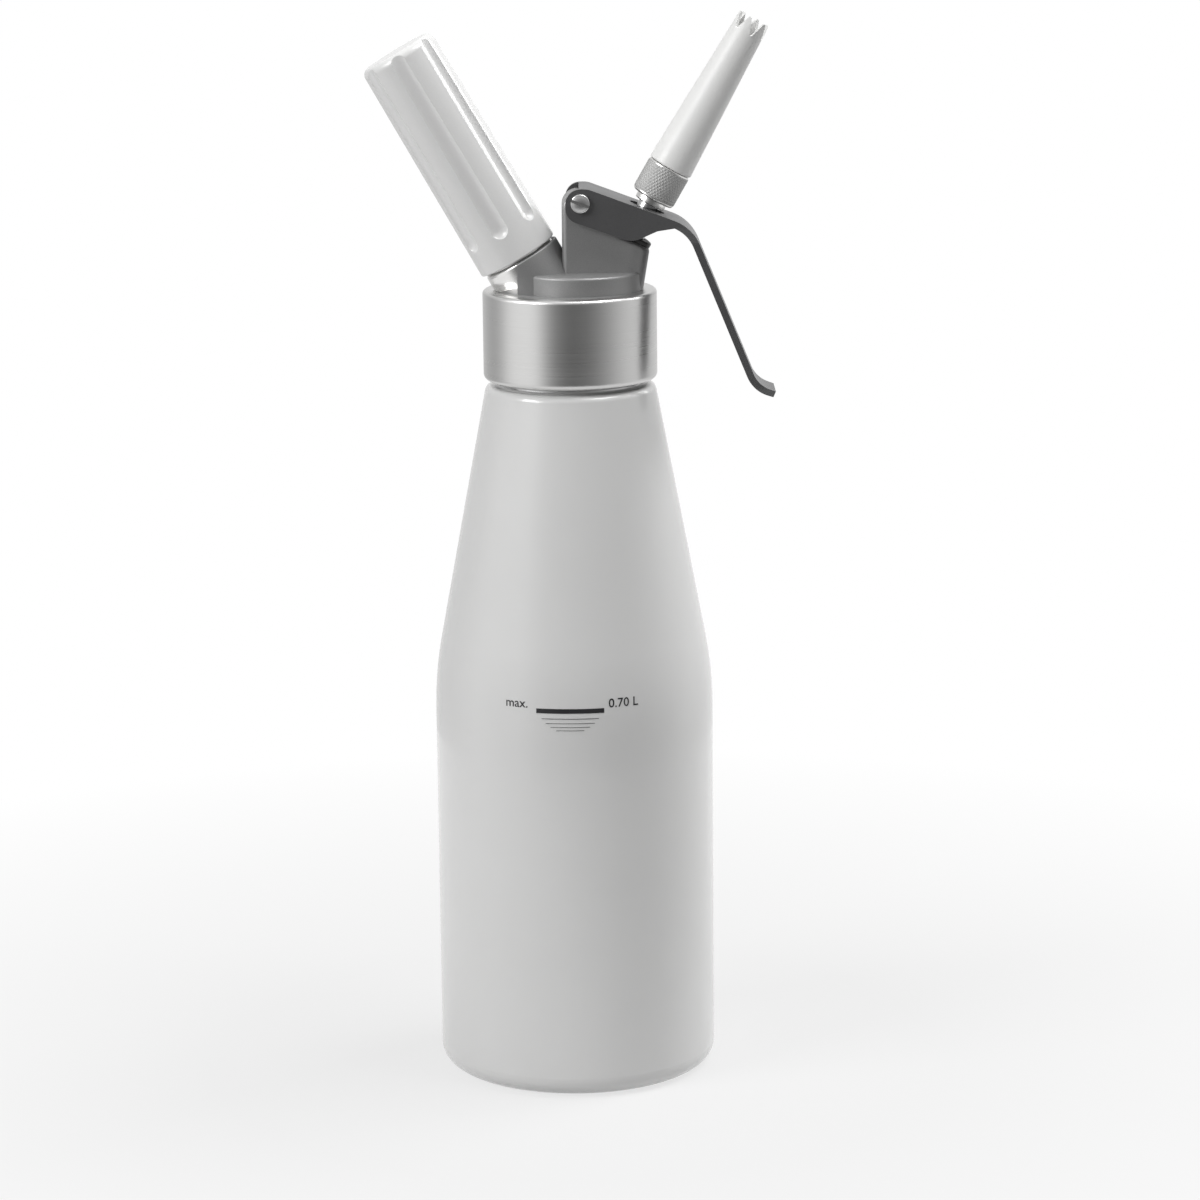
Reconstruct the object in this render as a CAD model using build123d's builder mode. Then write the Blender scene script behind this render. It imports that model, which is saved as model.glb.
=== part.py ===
"""Whipped cream dispenser, millimetres, +Z up.

The origin is the centre of the bottle's foot. Everything on the head is laid out on two axes
that lean 30 degrees either way from one point on the bottle's axis, the gas charger's to -X and
the valve's to +X. Heights "along" one of these axes are distances from that point.
"""

from build123d import *
from math import cos, radians, sin
import os

os.makedirs("parts", exist_ok=True)

# bottle
bottle_radius = 44.5
bottle_wall = 1.2
foot_ring_radius = 35.5
foot_recess = 4.0
foot_rounding = 6.5
cone_start = 129.9
cone_blend = 125.0
shoulder_radius = 26.8
shoulder_height = 223.2
neck_radius = 23.4
neck_bore = 21.2
rim_height = 243.0

# collar and gasket
collar_radius = 27.5
collar_bottom = 224.8
collar_top = 253.2
collar_bore = 24.2
collar_lip_bore = 23.0
collar_lip = 3.2
collar_rounding = 2.0
gasket_thickness = 3.0

# head casting
tilt = 30.0
axes_height = 236.0
flange_top = collar_top - collar_lip
base_radius = 19.7
base_offset = 3.4
base_top = 259.2
tower_half_width = 8.2
tower_left = -2.2
tower_top = 284.3
tower_right = 6.7
tower_step = 279.5
tower_corner = 1.6
boss_back = 8.2
flank_foot = 23.2
flank_rounding = 6.0
charger_boss_radius = 13.2
charger_boss_top = 31.4
valve_boss_top = 38.5
valve_boss_radius = 7.0
valve_bore = 4.6
valve_chamber = 5.9
chamber_floor = 22.0
valve_seat = 9.0

# lever
pivot_x = 3.6
pivot_z = 281.4
pivot_bore = 2.0
pin_clearance = 0.05
cheek_inside = 8.6
cheek_thickness = 1.8
strap_thickness = 2.2
handle_width = 17.0
slot_length = 11.4
slot_width = 8.2

# gas charger, its holder and its socket
charger_radius = 9.0
charger_length = 66.0
charger_wall = 1.2
charger_neck = 4.35
charger_mouth = 1.5
charger_tip = 33.5
holder_mouth = 32.3
holder_end = 106.6
holder_mouth_radius = 13.1
holder_end_radius = 12.5
holder_thread_bore = 10.5
holder_bore = 9.3
flute_count = 7
flute_radius = 4.0
flute_depth = 1.1
flute_start = 43.6
socket_flange_radius = 12.0
socket_flange_bottom = 23.0
socket_flange_top = 31.8
socket_stub_radius = 10.2
socket_stub_top = 41.0
socket_shank = 7.0
socket_shank_bottom = 18.0
pin_shelf = 30.0
seal_pocket = 32.0
filter_radius = 3.0
filter_top = 26.0
gas_space_bottom = 17.0
gas_bore = 1.6
gas_outlet_x = -11.0

# valve, adaptor and nozzle
gasket_radius = 6.8
gasket_bottom = 7.4
nut_width = 10.4
stem_bottom = 4.0
stem_end = 2.8
stem_thread = 3.4
stem_shank = 4.2
stem_bore = 2.0
washer_bottom = 43.85
washer_top = 45.85
washer_radius = 5.8
adaptor_hub = 5.0
adaptor_hub_bottom = 50.7
ring_bottom = 52.7
ring_top = 63.8
ring_radius = 6.9
adaptor_thread = 5.4
adaptor_top = 71.0
nozzle_bottom = 63.9
nozzle_seal_radius = 6.2
nozzle_seal_top = 64.6
nozzle_top = 117.0
nozzle_base_radius = 7.2
nozzle_tip_radius = 5.15
nozzle_teeth = 6
tooth_height = 6.0
notch_half_width = 2.2
notch_turn = 13
nozzle_wall = 1.3

# clearances
fit = 0.05
free = 0.3


# ---------- planes and axes of the head ----------

centre = Vector(0, 0, axes_height)
across, up = sin(radians(tilt)), cos(radians(tilt))
valve_dir = Vector(across, 0, up)
charger_dir = Vector(-across, 0, up)
valve_axis = Axis(centre, valve_dir)
charger_axis = Axis(centre, charger_dir)

# the planes that hold the turned profiles, with x across the axis and y along it
valve_side = Plane(origin=centre, x_dir=(up, 0, -across), z_dir=(0, -1, 0))
charger_side = Plane(origin=centre, x_dir=(-up, 0, -across), z_dir=(0, 1, 0))


def valve_plane(along):
    """Plane across the valve's axis, its x towards the front."""
    return Plane(origin=centre + valve_dir * along, x_dir=(0, -1, 0), z_dir=valve_dir)


def charger_plane(along):
    """Plane across the charger's axis, its x towards the front."""
    return Plane(origin=centre + charger_dir * along, x_dir=(0, -1, 0), z_dir=charger_dir)


def beside_valve(along, out):
    """Point (x, z) at a height along the valve's axis and a distance from it, to the right."""
    return along * across + out * up, axes_height + along * up - out * across


def outline(*corners):
    """Closed face through (x, y) corners; a third number rounds its corner to that radius."""
    with BuildLine() as edge:
        FilletPolyline(
            *[corner[:2] for corner in corners],
            radius=[corner[2] if len(corner) == 3 else 0 for corner in corners],
            close=True,
        )
    make_face(edge.edges())


# ---------- bottle ----------

inside_radius = bottle_radius - bottle_wall
recess_slope = 4.5

with BuildPart() as bottle:
    with BuildSketch(Plane.XZ):
        outline(
            (0, foot_recess),
            (foot_ring_radius - recess_slope, foot_recess, 6),
            (foot_ring_radius, 0, 2.5),
            (bottle_radius, 0, foot_rounding),
            (bottle_radius, cone_start, cone_blend),
            (shoulder_radius, shoulder_height, 2.5),
            (neck_radius, shoulder_height, 1),
            (neck_radius, rim_height, 0.8),
            (neck_bore, rim_height, 0.8),
            (neck_bore, shoulder_height - bottle_wall, 1),
            (shoulder_radius - bottle_wall, shoulder_height - bottle_wall, 1.5),
            (inside_radius, cone_start, cone_blend),
            (inside_radius, bottle_wall, foot_rounding - bottle_wall),
            (foot_ring_radius + bottle_wall / 2, bottle_wall, 1.2),
            (foot_ring_radius + bottle_wall / 2 - recess_slope, foot_recess + bottle_wall, 7),
            (0, foot_recess + bottle_wall),
        )
    revolve(axis=Axis.Z)
bottle.part.label = "bottle"

with BuildPart() as head_gasket:
    with BuildSketch(Plane.XY.offset(rim_height)):
        Circle(neck_radius - 0.1)
        Circle(neck_bore - 1.7, mode=Mode.SUBTRACT)
    extrude(amount=gasket_thickness)
    fillet(head_gasket.edges(), 0.4)
head_gasket.part.label = "head_gasket"


# ---------- head ----------

with BuildPart() as threaded_collar:
    with BuildSketch(Plane.XZ):
        outline(
            (collar_bore, collar_bottom),
            (collar_radius, collar_bottom, collar_rounding),
            (collar_radius, collar_top, 1.2),
            (collar_lip_bore, collar_top, 0.3),
            (collar_lip_bore, flange_top),
            (collar_bore, flange_top),
        )
    revolve(axis=Axis.Z)
threaded_collar.part.label = "threaded_collar"

# the boss under the charger is cut off flat, so the socket's flange shows past it
with BuildPart() as charger_boss:
    with BuildSketch(charger_side):
        outline(
            (0, socket_shank_bottom),
            (charger_boss_radius, socket_shank_bottom),
            (charger_boss_radius, charger_boss_top, 0.5),
            (0, charger_boss_top),
        )
    revolve(axis=charger_axis)
    with BuildSketch(Plane.XY.offset(collar_top)):
        with Locations((base_offset - base_radius, 0)):
            Rectangle(2 * base_radius, 2 * base_radius, align=(Align.MIN, Align.CENTER))
    extrude(amount=40, mode=Mode.INTERSECT)

# tower between the lever's cheeks, in one piece with the boss of the valve
with BuildPart() as tower:
    with BuildSketch(Plane.XZ):
        outline(
            (tower_left, collar_top),
            (tower_left, tower_top, 5),
            (tower_right, tower_top, 3),
            (tower_right, tower_step, 2),
            (*beside_valve(valve_boss_top, -boss_back), 1.5),
            beside_valve(valve_boss_top, valve_boss_radius),
            (flank_foot, collar_top),
        )
    extrude(amount=tower_half_width, both=True)
    fillet(tower.edges().filter_by_position(Axis.X, flank_foot + 0.2, flank_foot + 2), flank_rounding)
    fillet(
        tower.edges().filter_by(Axis.Z).filter_by_position(Axis.X, tower_left - 0.1, tower_left + 0.1),
        tower_corner,
    )

# space of the socket's flange, which lies on the collar where it stands out of the base
with BuildPart() as flange_pocket:
    with BuildSketch(charger_side):
        outline(
            (0, socket_flange_bottom),
            (socket_flange_radius + fit, socket_flange_bottom),
            (socket_flange_radius + fit, socket_stub_top),
            (0, socket_stub_top),
        )
    revolve(axis=charger_axis)
    split(bisect_by=Plane.XY.offset(collar_top))

gasket_top = rim_height + gasket_thickness

with BuildPart() as head_casting:
    with BuildSketch(Plane.XZ):
        outline(
            (0, gasket_top),
            (collar_bore - fit, gasket_top),
            (collar_bore - fit, flange_top),
            (collar_lip_bore - fit, flange_top),
            (collar_lip_bore - fit, collar_top),
            (0, collar_top),
        )
    revolve(axis=Axis.Z)
    with BuildSketch(Plane.XY.offset(collar_top)):
        with Locations((base_offset, 0)):
            Circle(base_radius)
    extrude(amount=base_top - collar_top)
    fillet(head_casting.faces().sort_by(Axis.Z)[-1].edges(), 0.9)
    add(tower)
    add(charger_boss)
    # seat of the valve on the underside, square to its axis
    with BuildSketch(valve_side):
        outline((0, valve_seat), (8, valve_seat), (8, 16), (0, 16))
    revolve(axis=valve_axis)
    # bores of the valve, with the spring's chamber at its outer end
    with BuildSketch(valve_side):
        outline(
            (0, 0),
            (gasket_radius + free, 0),
            (gasket_radius + free, valve_seat),
            (valve_bore, valve_seat),
            (valve_bore, chamber_floor),
            (valve_chamber, chamber_floor),
            (valve_chamber, valve_boss_top + 1),
            (0, valve_boss_top + 1),
        )
    revolve(axis=valve_axis, mode=Mode.SUBTRACT)
    # bores of the socket, with a small space for the gas under it
    with BuildSketch(charger_plane(gas_space_bottom)):
        Circle(socket_shank + fit)
    extrude(amount=socket_flange_bottom - gas_space_bottom + 1, mode=Mode.SUBTRACT)
    add(flange_pocket, mode=Mode.SUBTRACT)
    # gas passage, straight down past the stalk of the check valve
    with BuildSketch(Plane.XY.offset(gasket_top - 1)):
        with Locations((gas_outlet_x, 0)):
            Circle(gas_bore)
    extrude(amount=6, mode=Mode.SUBTRACT)
    with BuildSketch(Plane.XZ):
        with Locations((pivot_x, pivot_z)):
            Circle(pivot_bore)
    extrude(amount=tower_half_width + 1, both=True, mode=Mode.SUBTRACT)
head_casting.part.label = "head_casting"


# ---------- gas side ----------

with BuildPart() as socket_flange:
    with BuildSketch(charger_side):
        outline(
            (socket_shank - 1, socket_flange_bottom),
            (socket_flange_radius, socket_flange_bottom),
            (socket_flange_radius, socket_flange_top, 1.2),
            (socket_shank - 1, socket_flange_top),
        )
    revolve(axis=charger_axis)
    split(bisect_by=Plane.XY.offset(collar_top + fit))

with BuildPart() as charger_socket:
    with BuildSketch(charger_side):
        outline(
            (gas_bore, socket_shank_bottom),
            (socket_shank, socket_shank_bottom),
            (socket_shank, socket_flange_top),
            (socket_stub_radius, socket_flange_top),
            (socket_stub_radius, socket_stub_top, 0.8),
            (charger_neck + free, socket_stub_top, 0.8),
            (charger_neck + free, pin_shelf),
            (gas_bore, pin_shelf),
        )
    revolve(axis=charger_axis)
    add(socket_flange)
    # pocket of the filter under the pin
    with BuildSketch(charger_plane(socket_shank_bottom)):
        Circle(filter_radius + fit)
    extrude(amount=filter_top - socket_shank_bottom, mode=Mode.SUBTRACT)
charger_socket.part.label = "charger_socket"

with BuildPart() as piercing_pin:
    with BuildSketch(charger_side):
        outline(
            (0.4, filter_top),
            (gas_bore - fit, filter_top),
            (gas_bore - fit, pin_shelf),
            (charger_neck, pin_shelf),
            (charger_neck, seal_pocket),
            (1.2, seal_pocket),
            (1.2, 35.0),
            (0.5, 37.0),
            (0.4, 37.0),
        )
    revolve(axis=charger_axis)
piercing_pin.part.label = "piercing_pin"

with BuildPart() as charger_seal:
    with BuildSketch(charger_plane(seal_pocket)):
        Circle(charger_neck)
        Circle(gas_bore, mode=Mode.SUBTRACT)
    extrude(amount=charger_tip - seal_pocket)
charger_seal.part.label = "charger_seal"

with BuildPart() as gas_filter:
    with BuildSketch(charger_plane(filter_top - 3)):
        Circle(filter_radius)
    extrude(amount=3)
    chamfer(gas_filter.edges(), 0.3)
gas_filter.part.label = "gas_filter"

# umbrella of rubber under the gas passage: gas lifts its rim, cream can't push back past it
with BuildPart() as check_valve:
    with BuildSketch(Plane(origin=(gas_outlet_x, 0, gasket_top), x_dir=(1, 0, 0), z_dir=(0, -1, 0))):
        outline((0, -1.8), (4.2, -0.9, 0.4), (4.2, 0), (1.0, 0), (1.0, 2.6, 0.3), (0, 2.6))
    revolve(axis=Axis((gas_outlet_x, 0, gasket_top), (0, 0, 1)))
check_valve.part.label = "check_valve"

charger_bottom = charger_tip + charger_length
shoulder_of_charger = charger_tip + 9.0

with BuildPart() as gas_charger:
    with BuildSketch(charger_side):
        outline(
            (charger_mouth, charger_tip),
            (charger_neck, charger_tip, 0.6),
            (charger_neck, shoulder_of_charger, 1.5),
            (charger_radius, shoulder_of_charger + 5.5, 5),
            (charger_radius, charger_bottom, 6.5),
            (0, charger_bottom),
            (0, charger_bottom - charger_wall),
            (charger_radius - charger_wall, charger_bottom - charger_wall, 5.3),
            (charger_radius - charger_wall, shoulder_of_charger + 6.2, 3.8),
            (charger_neck - charger_wall, shoulder_of_charger + 1, 1.5),
            (charger_neck - charger_wall, charger_tip + charger_wall),
            (charger_mouth, charger_tip + charger_wall),
        )
    revolve(axis=charger_axis)
gas_charger.part.label = "gas_charger"

flute_middle = holder_end_radius + 0.25 - flute_depth + flute_radius

with BuildPart() as charger_holder:
    with BuildSketch(charger_side):
        outline(
            (holder_thread_bore, holder_mouth),
            (holder_mouth_radius, holder_mouth, 0.5),
            (holder_end_radius, holder_end, 2.6),
            (0, holder_end),
            (0, charger_bottom + free),
            (holder_bore, charger_bottom + free, 4.5),
            (holder_bore, socket_stub_top + 3.5),
            (holder_thread_bore, socket_stub_top + 2),
        )
    revolve(axis=charger_axis)
    # flutes round the grip, round at the mouth's end and open at the closed end
    with Locations(charger_plane(flute_start)):
        with PolarLocations(flute_middle, flute_count):
            Cylinder(
                flute_radius,
                holder_end - flute_start + 1,
                align=(Align.CENTER, Align.CENTER, Align.MIN),
                mode=Mode.SUBTRACT,
            )
            Sphere(flute_radius, mode=Mode.SUBTRACT)
charger_holder.part.label = "charger_holder"


# ---------- valve ----------

piston_bottom = 17.6
piston_top = 21.8
ring_groove = 3.3
ring_groove_bottom = 18.7
ring_groove_top = 20.7
spring_seat = 33.0
spring_seat_top = 34.8
gland_bottom = 35.4
gland_top = 40.0
gland_radius = 6.9
stem_top = 58.0
port_height = 14.0
port_radius = 1.3

with BuildPart() as valve_stem:
    with BuildSketch(valve_side):
        outline(
            (0, stem_bottom),
            (stem_end, stem_bottom, 0.5),
            (stem_end, valve_seat),
            (stem_thread, valve_seat),
            (stem_thread, piston_bottom),
            (valve_bore - fit, piston_bottom),
            (valve_bore - fit, ring_groove_bottom),
            (ring_groove, ring_groove_bottom),
            (ring_groove, ring_groove_top),
            (valve_bore - fit, ring_groove_top),
            (valve_bore - fit, piston_top),
            (stem_shank, piston_top),
            (stem_shank, spring_seat),
            (valve_chamber - free, spring_seat),
            (valve_chamber - free, spring_seat_top),
            (stem_shank, spring_seat_top),
            (stem_shank, washer_bottom),
            (stem_thread, washer_bottom),
            (stem_thread, stem_top),
            (0, stem_top),
        )
    revolve(axis=valve_axis)
    # passage for the cream, up the stem from four ports under the piston
    with BuildSketch(valve_plane(port_height - stem_bore)):
        Circle(stem_bore)
    extrude(amount=stem_top, mode=Mode.SUBTRACT)
    with Locations(valve_plane(port_height)):
        with PolarLocations(0, 2):
            Cylinder(port_radius, 2 * valve_bore, rotation=(0, 90, 0), mode=Mode.SUBTRACT)
        with PolarLocations(0, 2, start_angle=90):
            Cylinder(port_radius, 2 * valve_bore, rotation=(0, 90, 0), mode=Mode.SUBTRACT)
valve_stem.part.label = "valve_stem"

with BuildPart() as stem_seal:
    ring_section = (valve_bore - fit - ring_groove) / 2
    with BuildSketch(valve_side):
        with Locations((ring_groove + ring_section, (ring_groove_bottom + ring_groove_top) / 2)):
            Circle(ring_section - 0.02)
    revolve(axis=valve_axis)
stem_seal.part.label = "stem_seal"

with BuildPart() as valve_gasket:
    with BuildSketch(valve_side):
        outline(
            (stem_end + fit, gasket_bottom),
            (gasket_radius, gasket_bottom, 0.4),
            (gasket_radius, valve_seat, 0.2),
            (stem_end + fit, valve_seat),
        )
    revolve(axis=valve_axis)
valve_gasket.part.label = "valve_gasket"

with BuildPart() as valve_nut:
    with BuildSketch(valve_plane(stem_bottom + 0.4)):
        RegularPolygon(nut_width / 2, 6, major_radius=False)
        Circle(stem_end + fit, mode=Mode.SUBTRACT)
    extrude(amount=gasket_bottom - stem_bottom - 0.4)
valve_nut.part.label = "valve_nut"

spring_wire = 0.9
spring_radius = 4.95
spring_turns = 5
spring_height = spring_seat - chamber_floor - spring_wire - 0.1

with BuildPart() as valve_spring:
    with BuildLine():
        coil = Helix(
            pitch=spring_height / spring_turns,
            height=spring_height,
            radius=spring_radius,
            center=centre + valve_dir * (chamber_floor + spring_wire / 2 + 0.05),
            direction=valve_dir,
        )
    with BuildSketch(Plane(origin=coil @ 0, z_dir=coil % 0)):
        Circle(spring_wire / 2)
    sweep()
valve_spring.part.label = "valve_spring"

with BuildPart() as gland_nut:
    with BuildSketch(valve_side):
        outline(
            (stem_shank + fit, gland_bottom),
            (valve_chamber - fit, gland_bottom, 0.3),
            (valve_chamber - fit, valve_boss_top),
            (gland_radius, valve_boss_top),
            (gland_radius, gland_top, 0.5),
            (stem_shank + fit, gland_top, 0.3),
        )
    revolve(axis=valve_axis)
gland_nut.part.label = "gland_nut"

with BuildPart() as thrust_washer:
    with BuildSketch(valve_side):
        outline(
            (stem_thread + fit, washer_bottom),
            (washer_radius, washer_bottom, 0.3),
            (washer_radius, washer_top, 0.6),
            (stem_thread + fit, washer_top),
        )
    revolve(axis=valve_axis)
thrust_washer.part.label = "thrust_washer"

with BuildPart() as knurled_adaptor:
    with BuildSketch(valve_side):
        outline(
            (stem_thread + fit, adaptor_hub_bottom),
            (adaptor_hub, adaptor_hub_bottom, 0.4),
            (adaptor_hub, ring_bottom),
            (ring_radius, ring_bottom, 0.7),
            (ring_radius, ring_top, 0.5),
            (adaptor_thread, ring_top),
            (adaptor_thread, adaptor_top, 0.6),
            (stem_bore, adaptor_top),
            (stem_bore, stem_top + 0.5),
            (stem_thread + fit, stem_top + 0.5),
        )
    revolve(axis=valve_axis)
knurled_adaptor.part.label = "knurled_adaptor"

with BuildPart() as nozzle_seal:
    with BuildSketch(valve_side):
        outline(
            (adaptor_thread + fit, ring_top),
            (nozzle_seal_radius - fit, ring_top, 0.2),
            (nozzle_seal_radius - fit, nozzle_seal_top, 0.2),
            (adaptor_thread + fit, nozzle_seal_top),
        )
    revolve(axis=valve_axis)
nozzle_seal.part.label = "nozzle_seal"

with BuildPart() as notch:
    with BuildSketch(Plane.YZ):
        outline((-notch_half_width, 0), (notch_half_width, 0), (0, -tooth_height, 0.5))
    extrude(amount=nozzle_base_radius)

with BuildPart() as star_nozzle:
    with BuildSketch(valve_side):
        outline(
            (adaptor_thread + free, nozzle_seal_top),
            (nozzle_seal_radius, nozzle_seal_top),
            (nozzle_seal_radius, nozzle_bottom),
            (nozzle_base_radius, nozzle_bottom, 0.5),
            (nozzle_tip_radius, nozzle_top),
            (nozzle_tip_radius - 1.0, nozzle_top),
            (nozzle_base_radius - nozzle_wall - 0.6, adaptor_top + 2.5),
            (adaptor_thread + free, adaptor_top + 1),
        )
    revolve(axis=valve_axis)
    # notches between the teeth of the crown
    with Locations(valve_plane(nozzle_top)):
        with PolarLocations(0, nozzle_teeth, start_angle=notch_turn):
            add(notch, mode=Mode.SUBTRACT)
star_nozzle.part.label = "star_nozzle"


# ---------- lever ----------

# a pressed channel: two cheeks, the web between them and the strap of the handle
web_start = (10.8, 282.83)
bend = (37.8, 272.6)
flare = (58.3, 222.0)
tip = (64.3, 219.9)
cheek_outside = cheek_inside + cheek_thickness
hood = ((3.2, 285.25), (5.9, 285.25), (12.0, 282.95))
hood_bend = 5.4
hood_thickness = 1.1
web_bend = 13
handle_flare = 10

with BuildPart() as lever:
    with BuildSketch(Plane.XZ):
        with BuildLine():
            FilletPolyline(web_start, bend, flare, tip, radius=(web_bend, handle_flare))
        trace(line_width=strap_thickness)
    extrude(amount=cheek_outside, both=True)
    # the strap narrows from the cheeks to the handle and ends round
    with BuildSketch(Plane.YZ):
        outline(
            (-cheek_outside, 290),
            (-cheek_outside, 273.5, 4),
            (-handle_width / 2, 268, 8),
            (-handle_width / 2 + 0.5, 217.5, 5),
            (handle_width / 2 - 0.5, 217.5, 5),
            (handle_width / 2, 268, 8),
            (cheek_outside, 273.5, 4),
            (cheek_outside, 290),
        )
    extrude(amount=80, mode=Mode.INTERSECT)
    for side in (-1, 1):
        with BuildSketch(Plane.XZ.offset(-side * cheek_inside)):
            outline(
                (-1.0, 285.8, 4.7),
                (6.0, 285.8, 6),
                (33.0, 275.6),
                (33.0, 273.2),
                (27.6, 272.4, 2.5),
                (19.8, 269.0, 7),
                (9.5, 272.7, 12),
                (-1.0, 276.4, 4.7),
            )
        extrude(amount=-side * cheek_thickness)
    # hood over the top of the tower, flush with the cheeks' upper edges
    with BuildSketch(Plane.XZ):
        with BuildLine():
            FilletPolyline(*hood, radius=hood_bend)
        trace(line_width=hood_thickness)
    extrude(amount=cheek_outside, both=True)
    # slot for the stem
    with BuildSketch(valve_plane(washer_top + 2.4)):
        SlotOverall(slot_length, slot_width, rotation=90)
    extrude(amount=6, both=True, mode=Mode.SUBTRACT)
    with BuildSketch(Plane.XZ):
        with Locations((pivot_x, pivot_z)):
            Circle(pivot_bore)
    extrude(amount=cheek_outside + 1, both=True, mode=Mode.SUBTRACT)
lever.part.label = "lever"

pin_plane = Plane(origin=(pivot_x, 0, pivot_z), x_dir=(1, 0, 0), z_dir=(0, 1, 0))
pin_head_radius = 3.0
pin_head_height = 1.4
pin_thread = 1.3
pin_reach = cheek_outside + 0.1

with BuildPart() as lever_pin:
    with BuildSketch(pin_plane.offset(-pin_reach)):
        Circle(pivot_bore - pin_clearance)
    extrude(amount=2 * pin_reach)
    with BuildSketch(pin_plane.offset(pin_reach)):
        Circle(pin_thread)
    extrude(amount=2)
    with BuildSketch(pin_plane.offset(-pin_reach)):
        Circle(pin_head_radius)
    extrude(amount=-pin_head_height)
    fillet(lever_pin.faces().sort_by(Axis.Y)[0].edges(), 0.5)
    with BuildSketch(pin_plane.offset(-pin_reach - pin_head_height)):
        Rectangle(2 * pin_head_radius + 1, 0.9, rotation=20)
    extrude(amount=0.7, mode=Mode.SUBTRACT)
lever_pin.part.label = "lever_pin"

with BuildPart() as lever_pin_nut:
    with BuildSketch(pin_plane.offset(pin_reach)):
        Circle(pin_head_radius)
        Circle(pin_thread + fit, mode=Mode.SUBTRACT)
    extrude(amount=2.2)
    fillet(lever_pin_nut.faces().sort_by(Axis.Y)[-1].edges().sort_by(SortBy.RADIUS)[-1], 0.6)
lever_pin_nut.part.label = "lever_pin_nut"


export_step(bottle.part, "parts/bottle.step")
export_step(head_gasket.part, "parts/head_gasket.step")
export_step(threaded_collar.part, "parts/threaded_collar.step")
export_step(head_casting.part, "parts/head_casting.step")
export_step(charger_socket.part, "parts/charger_socket.step")
export_step(piercing_pin.part, "parts/piercing_pin.step")
export_step(charger_seal.part, "parts/charger_seal.step")
export_step(gas_filter.part, "parts/gas_filter.step")
export_step(check_valve.part, "parts/check_valve.step")
export_step(gas_charger.part, "parts/gas_charger.step")
export_step(charger_holder.part, "parts/charger_holder.step")
export_step(valve_stem.part, "parts/valve_stem.step")
export_step(stem_seal.part, "parts/stem_seal.step")
export_step(valve_gasket.part, "parts/valve_gasket.step")
export_step(valve_nut.part, "parts/valve_nut.step")
export_step(valve_spring.part, "parts/valve_spring.step")
export_step(gland_nut.part, "parts/gland_nut.step")
export_step(thrust_washer.part, "parts/thrust_washer.step")
export_step(knurled_adaptor.part, "parts/knurled_adaptor.step")
export_step(nozzle_seal.part, "parts/nozzle_seal.step")
export_step(star_nozzle.part, "parts/star_nozzle.step")
export_step(lever.part, "parts/lever.step")
export_step(lever_pin.part, "parts/lever_pin.step")
export_step(lever_pin_nut.part, "parts/lever_pin_nut.step")
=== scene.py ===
"""Whipped cream dispenser: finishes, threads, knurl, spring, screw face, fill mark and stage.

Sizes are in millimetres in the settings and the fixed sizes, and in metres in the meshes. The
dispenser stands on the XY plane, the gas charger's side to -X, the valve's side to +X, and its
front to -Y.
"""

from collections import namedtuple
from math import atan, cos, pi, radians, sin

import bmesh
import bpy
import numpy as np
from bpy.props import (
    FloatProperty,
    FloatVectorProperty,
    IntProperty,
    PointerProperty,
    StringProperty,
)
from mathutils import Matrix, Vector


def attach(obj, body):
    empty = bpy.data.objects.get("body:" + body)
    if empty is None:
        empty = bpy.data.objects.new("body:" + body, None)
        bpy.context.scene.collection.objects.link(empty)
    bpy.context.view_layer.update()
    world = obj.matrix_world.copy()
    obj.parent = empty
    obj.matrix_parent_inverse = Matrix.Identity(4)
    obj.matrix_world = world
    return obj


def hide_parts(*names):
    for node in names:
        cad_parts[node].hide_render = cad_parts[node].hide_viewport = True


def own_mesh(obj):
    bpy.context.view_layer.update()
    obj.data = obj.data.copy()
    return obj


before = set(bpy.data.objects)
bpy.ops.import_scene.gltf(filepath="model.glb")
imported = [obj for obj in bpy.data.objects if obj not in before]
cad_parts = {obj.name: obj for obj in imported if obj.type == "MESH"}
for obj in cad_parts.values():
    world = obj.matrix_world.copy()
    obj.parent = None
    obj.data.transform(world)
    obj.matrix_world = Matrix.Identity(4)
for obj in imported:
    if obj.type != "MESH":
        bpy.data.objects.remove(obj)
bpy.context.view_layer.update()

bl_info = {
    "name": "Whipped Cream Dispenser",
    "version": (1, 0, 0),
    "blender": (4, 5, 0),
    "location": "View3D > Sidebar > Dispenser",
    "description": "Dresses the dispenser and adds its threads, knurl, fill mark and stage",
    "category": "Object",
}

MM = 0.001


# ---------- screw axes ----------

# the gas side's and the valve side's axes start from this point, in metres, and lean from the
# bottle's axis, each to its own side
HEAD_POINT = np.array([0.0, 0.0, 0.236])
LEAN = radians(30)
FRONT = np.array([0.0, -1.0, 0.0])

ScrewAxis = namedtuple("ScrewAxis", "origin front side up")


def screw_axis(origin, up):
    """Axis through origin, with three unit vectors: front, side = up x front, and up along it."""
    up = np.asarray(up, float)
    return ScrewAxis(np.asarray(origin, float), FRONT, np.cross(up, FRONT), up)


AXES = {
    "bottle": screw_axis((0, 0, 0), (0, 0, 1)),
    "gas": screw_axis(HEAD_POINT, (-sin(LEAN), 0, cos(LEAN))),
    "valve": screw_axis(HEAD_POINT, (sin(LEAN), 0, cos(LEAN))),
}


# ---------- fixed sizes, in millimetres ----------

# the bottle's cylinder and cone would meet in a corner, which an arc rounds off; the cone ends at
# the shoulder, and the lacquer a little above it
BODY_RADIUS = 44.5
CORNER_HEIGHT = 129.9
CORNER_ARC = 125.0
SHOULDER_RADIUS = 26.8
SHOULDER_HEIGHT = 223.2
LACQUER_END = 223.8

# half of a thread's foot and of its crest, as shares of the pitch, and how far the foot is sunk
# in the wall, as a share of the depth
HALF_FOOT = 0.28
HALF_CREST = 0.1
FOOT_SUNK = 0.12

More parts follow.
